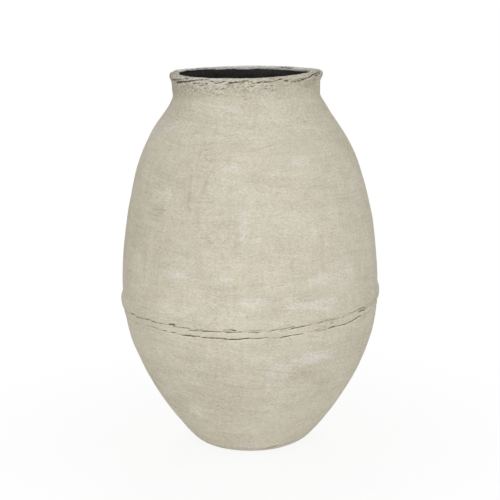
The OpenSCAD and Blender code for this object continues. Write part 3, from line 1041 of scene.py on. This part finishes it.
# Shares of the wash, each a product of rows: a layer, its value from and to, and the share from
# and to where it isn't 0 to 1
WASH_SHARE = {
    "slanted": [("region", 0.46, 0.56)],
    "neck": [("height", 0.669, 0.690), ("cloud", 0.3, 0.7, 0.3, 0.7)],
    "body": [("height", 0.60, 0.50)],
    "lower": [("height", 0.27, 0.14)],
    # Painted light on the foot, against its shade near the floor
    "foot": [("height", 0.15, 0.04)],
    "green": [("green", 0.56, 0.72, 0.0, 0.5)],
    "streak": [("streak", 0.40, 0.66, 0.0, 0.34), ("left", -0.05, 0.17, 0.3, 1.0),
               ("height", 0.30, 0.36), ("height", 0.62, 0.55)],
    "lilac": [("lilac", 0.54, 0.70, 0.0, 0.28)],
    "smear": [("smears", 0.0, 1.05, 0.0, 0.5), ("thick", 0.05, 0.35)],
    "grain": [("grain", 0.35, 0.65)],
    "pit": [("pits", 0.05, 0.085, 1.0, 0.0), ("chosen", 0.56, 0.60)],
    "hairline": [("hairlines", 0.003, 0.014, 1.0, 0.0), ("rough", 0.52, 0.62, 0.0, 0.5)],
    "scratch": [("back", -0.04, 0.0, 1.0, 0.0), ("grain", 0.38, 0.62, 0.2, 1.4)],
    # The painted highlight's share, broken up by mottle and grain
    "painted_highlight": [("mottle", 0.3, 0.6, 0.5, 0.8), ("grain", 0.35, 0.65, 0.6, 1.15)],
    # Painted highlight of pale grey on the back of the rim's crest
    "crest": [("height", 0.7130, 0.7165), ("back", 0.0, 0.07), ("mottle", 0.3, 0.7, 0.5, 1.0)],
    # Painted light on raised grit and painted shade in its hollows
    "grit_highlight": [("grit_lit_and_shaded", 0.03, 0.16, 0.0, 0.4)],
    "grit_shade": [("grit_lit_and_shaded", -0.03, -0.16, 0.0, 0.4)],
    "crack_grain": [("grain", 0.35, 0.6, 0.55, 1.3)],
    "crack_core": [("cracks", 0.4, 0.95)],
    "crack_edge": [("cracks", 0.08, 0.55)],
}
# Gains of layers in the wash's tone, thickness, roughness and relief
TONE_NOISE = {"patch": 0.28, "cloud": 0.30, "mottle": 0.10, "brush": 0.42, "down": 0.26,
              "stroke": 0.26, "grain": 1.33}
# Tone marks: painted light and shade on the neck's grit with the neck's painted shade, thin wash with
# painted shade under the rim, and painted light and shade on grit
TONE_MARKS = {"painted_light_and_shade": 0.15, "thin_wash_and_shade": -0.11, "grit_lit_and_shaded": 3.2}
# The foot's gain paints light on the foot; body and lower darken the wall towards the bottom
TONE_SHARES = {"body": -0.025, "lower": -0.085, "foot": 0.15}
NECK_TONE = -0.42
THICK_NOISE = {"smear": 1.7, "brush": 0.5, "mottle": 0.7}
ROUGH_NOISE = {"across": 0.12, "grain": 0.14}
RELIEF_NOISE = {"mottle": 0.4, "brush": 0.35, "down": 0.3, "grain": 0.7}
CLAY_ROUGHNESS = 0.86
GRIT_RELIEF = 1.5
WORN_RELIEF = -0.6
# Pits lie in the middle of some cells of this many to the metre
PIT_CELLS = 62.0
PIT_DARK = 0.45
HAIRLINE_DARK = 0.5
# Scratches on the photograph's side: x and height at each end and half width in millimetres,
# and strength
SCRATCHES = (
    (-10, 591, 55, 606, 1.2, 0.34), (3, 598, 24, 601, 1.1, 0.25), (-74, 548, -86, 514, 5.5, 0.26),
    (-104, 556, -105, 526, 3.6, 0.27), (-105, 528, -110, 499, 4.4, 0.3),
    (-110, 501, -103, 488, 3.2, 0.3), (-178, 486, -146, 486, 3.0, 0.36),
    (-171, 480, -154, 481, 2.4, 0.3), (-178, 466, -161, 467, 2.4, 0.28),
    (-41, 531, -16, 530, 3, 0.15), (-17, 519, -1, 517, 3, 0.15), (-93, 489, -90, 462, 1.6, 0.15),
    (-64, 491, -65, 460, 1.6, 0.12), (20, 528, 34, 531, 1.3, 0.2),
)
SCRATCH_WAVE = 0.006
SCRATCH_TAPER = 0.6


class Wash(Paint):
    """A chalky wash over clay, with its layers by name."""

    def __init__(self, name):
        super().__init__(name)
        self.layers = {title: self.noise(*row) for title, row in WASH_NOISE.items()}
        self.layers.update({title: self.mark(title) for title in WASH_MARKS})
        self.layers.update(left=self.dot(LEFT), back=self.dot(BACK), height=self.dot(UP))

    def share(self, title):
        """A named share."""
        rows = WASH_SHARE[title]
        return self.product(*[self.spread(self.layers[layer], *limits) for layer, *limits in rows])

    def gained(self, gains):
        """Named layers, each with its gain."""
        return [(self.layers[title], gain) for title, gain in gains.items()]


def scratch_marks(p):
    """Thin scratches, drawn as wavering lines across the photograph's side."""
    found = 0.0
    for x0, z0, x1, z1, width, strength in SCRATCHES:
        start = Vector((x0, 0, z0)) * MM
        line = Vector((x1 - x0, 0, z1 - z0)) * MM
        half = line.length / 2
        ahead = line.normalized()
        beside = Vector((-ahead.z, 0, ahead.x))
        along = p.math("ABSOLUTE", p.math("SUBTRACT", p.dot(ahead), ahead.dot(start) + half))
        off = p.math("SUBTRACT", p.dot(beside), beside.dot(start) + SCRATCH_WAVE / 2)
        off = p.math("ABSOLUTE", p.raised(off, (p.layers["mottle"], SCRATCH_WAVE)))
        mark = p.product(p.spread(along, SCRATCH_TAPER * half, half, strength, 0.0),
                         p.spread(off, 0.0, width * MM, 1.0, 0.0))
        found = p.math("MAXIMUM", mark, found)
    return p.product(found, p.share("scratch"))


def brushed(p):
    """Adds crossing brush strokes, and grit that stays in coarse places, used for its relief and for
    painted light and shade, to the layers.
    """
    slanted = p.share("slanted")
    level = p.product(p.layers["across"], p.math("SUBTRACT", 1.0, slanted))
    p.layers["brush"] = p.math("ADD", level, p.product(p.layers["slant"], slanted))
    grit = p.math("SUBTRACT", p.layers["grit"], 0.5)
    p.layers["grit_lit_and_shaded"] = p.product(p.layers["coarse"], grit)


def wash_colour(p):
    """The wash's colour, with green, brown and lilac places and thick smears, and painted light and
    shade in its tone.
    """
    tone = p.total(0.5, *p.gained(TONE_NOISE))
    tone = p.raised(tone, *p.gained(TONE_MARKS), (p.share("neck"), NECK_TONE))
    tone = p.raised(tone, *[(p.share(title), gain) for title, gain in TONE_SHARES.items()])
    colour = p.ramp(tone, ((0.0, WASH_DARK), (0.5, WASH_MID), (1.0, WASH_PALE)))
    colour = p.mix(p.share("green"), colour, WASH_GREEN)
    colour = p.mix(p.share("streak"), colour, WASH_BROWN)
    p.layers["smears"] = p.math("ADD", p.total(0.0, *p.gained(THICK_NOISE)), p.layers["thick"])
    lilac = p.math("MAXIMUM", p.share("lilac"), p.share("smear"))
    return p.mix(lilac, colour, p.mix(p.share("grain"), LILAC_DARK, LILAC_PALE))


def worn_marks(p):
    """Where pits, hairlines and scratches show the clay."""
    cells = p.add("ShaderNodeTexVoronoi", {"Vector": p.place, "Scale": PIT_CELLS})
    p.layers["pits"] = cells.outputs["Distance"]
    p.layers["hairlines"] = p.math("ABSOLUTE", p.math("SUBTRACT", p.layers["hairline"], 0.5))
    pit = p.product(p.share("pit"), PIT_DARK)
    hairline = p.product(p.share("hairline"), HAIRLINE_DARK)
    return p.math("MAXIMUM", p.math("MAXIMUM", pit, scratch_marks(p)), hairline)


def washed_clay():
    """Chalky wash brushed over rough clay, in crossing strokes, with pits, dark cracks, and painted
    highlights and shade.
    """
    p = Wash("washed_clay")
    brushed(p)
    worn = worn_marks(p)
    colour = p.mix(worn, wash_colour(p), PIT_CLAY_AND_GRIT_SHADE)
    # Painted highlights: the rim's crest and inner edge, and the cracks' lower edges
    colour = p.mix(p.product(p.layers["painted_highlight"], p.share("painted_highlight")), colour, HIGHLIGHT_CHALK)
    # Painted highlight on the back of the crest
    colour = p.mix(p.share("crest"), colour, BACK_CREST_HIGHLIGHT)
    # Painted light on raised grit, and painted shade in its hollows
    colour = p.mix(p.share("grit_highlight"), colour, HIGHLIGHT_CHALK)
    colour = p.mix(p.share("grit_shade"), colour, PIT_CLAY_AND_GRIT_SHADE)
    p.layers["cracks"] = p.product(p.layers["crack"], p.share("crack_grain"))
    core = p.mix(p.share("crack_core"), CRACK_BROWN, CRACK_CLAY)
    colour = p.mix(p.share("crack_edge"), colour, core)
    coat = p.mix(p.share("grain"), COAT_BLACK, COAT_GREY)
    colour = p.mix(p.layers["coat"], colour, coat)
    roughness = p.total(CLAY_ROUGHNESS, *p.gained(ROUGH_NOISE))
    relief = p.total(0.5, *p.gained(RELIEF_NOISE))
    relief = p.raised(relief, (p.layers["grit_lit_and_shaded"], GRIT_RELIEF), (worn, WORN_RELIEF))
    return p.finish(colour, roughness, relief, bump=0.0010, specular=0.12)


def black_coat():
    """Matt black sealing coat, brushed on thinly enough to show the clay's grain."""
    p = Paint("black_coat")
    cloud = p.noise(14, 20)
    across = p.noise(12, 160, shift=4.1)
    grain = p.noise(360, 360, detail=2.0, roughness=0.7)
    tone = p.total(0.0, (cloud, 1.1), (across, 0.7), (grain, 1.6))
    tone = p.raised(tone, (p.spread(p.dot(UP), *COAT_PALER_BAND), COAT_PALER_TONE))
    colour = p.ramp(tone, ((0.1, COAT_BLACK), (0.9, COAT_GREY)))
    roughness = p.total(0.72, (cloud, 0.15), (grain, 0.15))
    relief = p.total(0.5, (across, 0.4), (grain, 0.6))
    return p.finish(colour, roughness, relief, bump=0.0007, specular=0.15)


def plug_rubber():
    """Matt moulded rubber with faint bloom and dust."""
    p = Paint("plug_rubber")
    cloud = p.noise(60, 60)
    grain = p.noise(900, 900, detail=2.0, roughness=0.7)
    turned = p.noise(20, 700, detail=2.0, shift=2.3)
    tone = p.total(0.4, (cloud, 0.6), (grain, 0.4), (turned, 0.3))
    colour = p.ramp(tone, ((0.2, RUBBER_DARK), (0.8, RUBBER_PALE)))
    roughness = p.total(0.62, (cloud, 0.2), (grain, 0.1))
    relief = p.total(0.5, (grain, 0.5), (turned, 0.5))
    return p.finish(colour, roughness, relief, bump=0.0002, specular=0.4)


def build_jar():
    """Makes every piece with its material and slot."""
    clay = washed_clay()
    for node, section, columns in CLAY_PIECES:
        piece = clay_piece(node, section(), columns)
        piece.data.materials.append(clay)
    lining = inner_lining()
    lining.data.materials.append(black_coat())
    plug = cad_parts["drain_plug"]
    plug.data.materials.clear()
    plug.data.materials.append(plug_rubber())


# Studio: floor, light and camera
WHITE = (1.0, 1.0, 1.0, 1.0)
WORLD_LIGHT = 0.64
# Lamps: name, place, power in watts and size
LAMPS = (("key", (0.08, -3.8, 1.3), 54.0, 2.6), ("back", (0.0, 3.6, 2.6), 34.0, 1.0))
LAMP_TARGET = (0.0, 0.0, 0.36)
FLOOR_HALF = 40.0
FLOOR_COLOUR = (0.95, 0.95, 0.945, 1.0)
FLOOR_WHITE = (0.88, 1.0)
FLOOR_FADE = (0.15, 0.8)
FLOOR_GLOW = 0.10
IMAGE_SIDE = 500.0
FOCAL_PIXELS = 1411.1
SENSOR_WIDTH = 36.0
CAMERA_PLACE = (0.0, -2.6636, 0.9408)
CAMERA_PITCH = 0.209
CAMERA_ROLL = 0.011


def seen_directly(nodes):
    """1 for rays from the camera, mirrors and glass, and 0 for light that bounces."""
    rays = nodes.add("ShaderNodeLightPath").outputs
    seen = nodes.math("MAXIMUM", rays["Is Camera Ray"], rays["Is Glossy Ray"])
    return nodes.math("MAXIMUM", seen, rays["Is Transmission Ray"])


def blended(nodes, share, first, second, output):
    """Joins a blend of two shaders to an output."""
    mixed = nodes.add("ShaderNodeMixShader", {0: share, 1: first.outputs[0], 2: second.outputs[0]})
    nodes.add(output, {"Surface": mixed.outputs[0]})


def studio_world():
    """White to the camera, and an even soft light on the jar."""
    world = bpy.data.worlds.new("studio")
    world.use_nodes = True
    world.node_tree.nodes.clear()
    nodes = Nodes(world.node_tree)
    lit = nodes.add("ShaderNodeBackground", {"Color": WHITE, "Strength": WORLD_LIGHT})
    seen = nodes.add("ShaderNodeBackground", {"Color": WHITE})
    blended(nodes, seen_directly(nodes), lit, seen, "ShaderNodeOutputWorld")
    bpy.context.scene.world = world


def floor_material():
    """Pale and matt, and white to the camera away from the jar."""
    material = bpy.data.materials.new("floor")
    material.use_nodes = True
    material.node_tree.nodes.clear()
    nodes = Nodes(material.node_tree)
    matt = nodes.add("ShaderNodeBsdfDiffuse", {"Color": FLOOR_COLOUR})
    white = nodes.add("ShaderNodeEmission")
    place = nodes.add("ShaderNodeTexCoord").outputs["Object"]
    away = nodes.add("ShaderNodeVectorMath", {0: place}, operation="LENGTH").outputs["Value"]
    fade = nodes.spread(away, *FLOOR_FADE, *FLOOR_WHITE, interpolation="SMOOTHSTEP")
    share = nodes.spread(seen_directly(nodes), 0.0, 1.0, FLOOR_GLOW, fade)
    blended(nodes, share, matt, white, "ShaderNodeOutputMaterial")
    return material


def studio_floor():
    """A plain pale floor that fades to white and keeps the jar's shadow."""
    mesh = bpy.data.meshes.new("floor")
    h = FLOOR_HALF
    mesh.from_pydata([(-h, -h, 0), (h, -h, 0), (h, h, 0), (-h, h, 0)], [], [(0, 1, 2, 3)])
    floor = bpy.data.objects.new("floor", mesh)
    bpy.context.scene.collection.objects.link(floor)
    mesh.materials.append(floor_material())


def studio_lamp(name, place, power, size):
    """A large soft lamp aimed at the jar."""
    data = bpy.data.lights.new(name, "AREA")
    data.shape = "SQUARE"
    data.size = size
    data.energy = power
    lamp = bpy.data.objects.new(name, data)
    lamp.location = place
    away = Vector(LAMP_TARGET) - lamp.location
    lamp.rotation_euler = away.to_track_quat("-Z", "Y").to_euler()
    bpy.context.scene.collection.objects.link(lamp)


def photo_camera():
    """The camera at the photograph's place, with its slight roll."""
    data = bpy.data.cameras.new("camera")
    data.sensor_width = SENSOR_WIDTH
    data.lens = FOCAL_PIXELS / IMAGE_SIDE * SENSOR_WIDTH
    camera = bpy.data.objects.new("camera", data)
    bpy.context.scene.collection.objects.link(camera)
    turn = Euler((math.pi / 2 - CAMERA_PITCH, 0, 0)).to_matrix()
    roll = Matrix.Rotation(-CAMERA_ROLL, 3, "Z")
    camera.rotation_euler = (turn @ roll).to_euler()
    camera.location = CAMERA_PLACE
    bpy.context.scene.camera = camera


build_jar()
studio_world()
studio_floor()
for lamp_row in LAMPS:
    studio_lamp(*lamp_row)
photo_camera()
bpy.context.scene.view_settings.view_transform = "Standard"
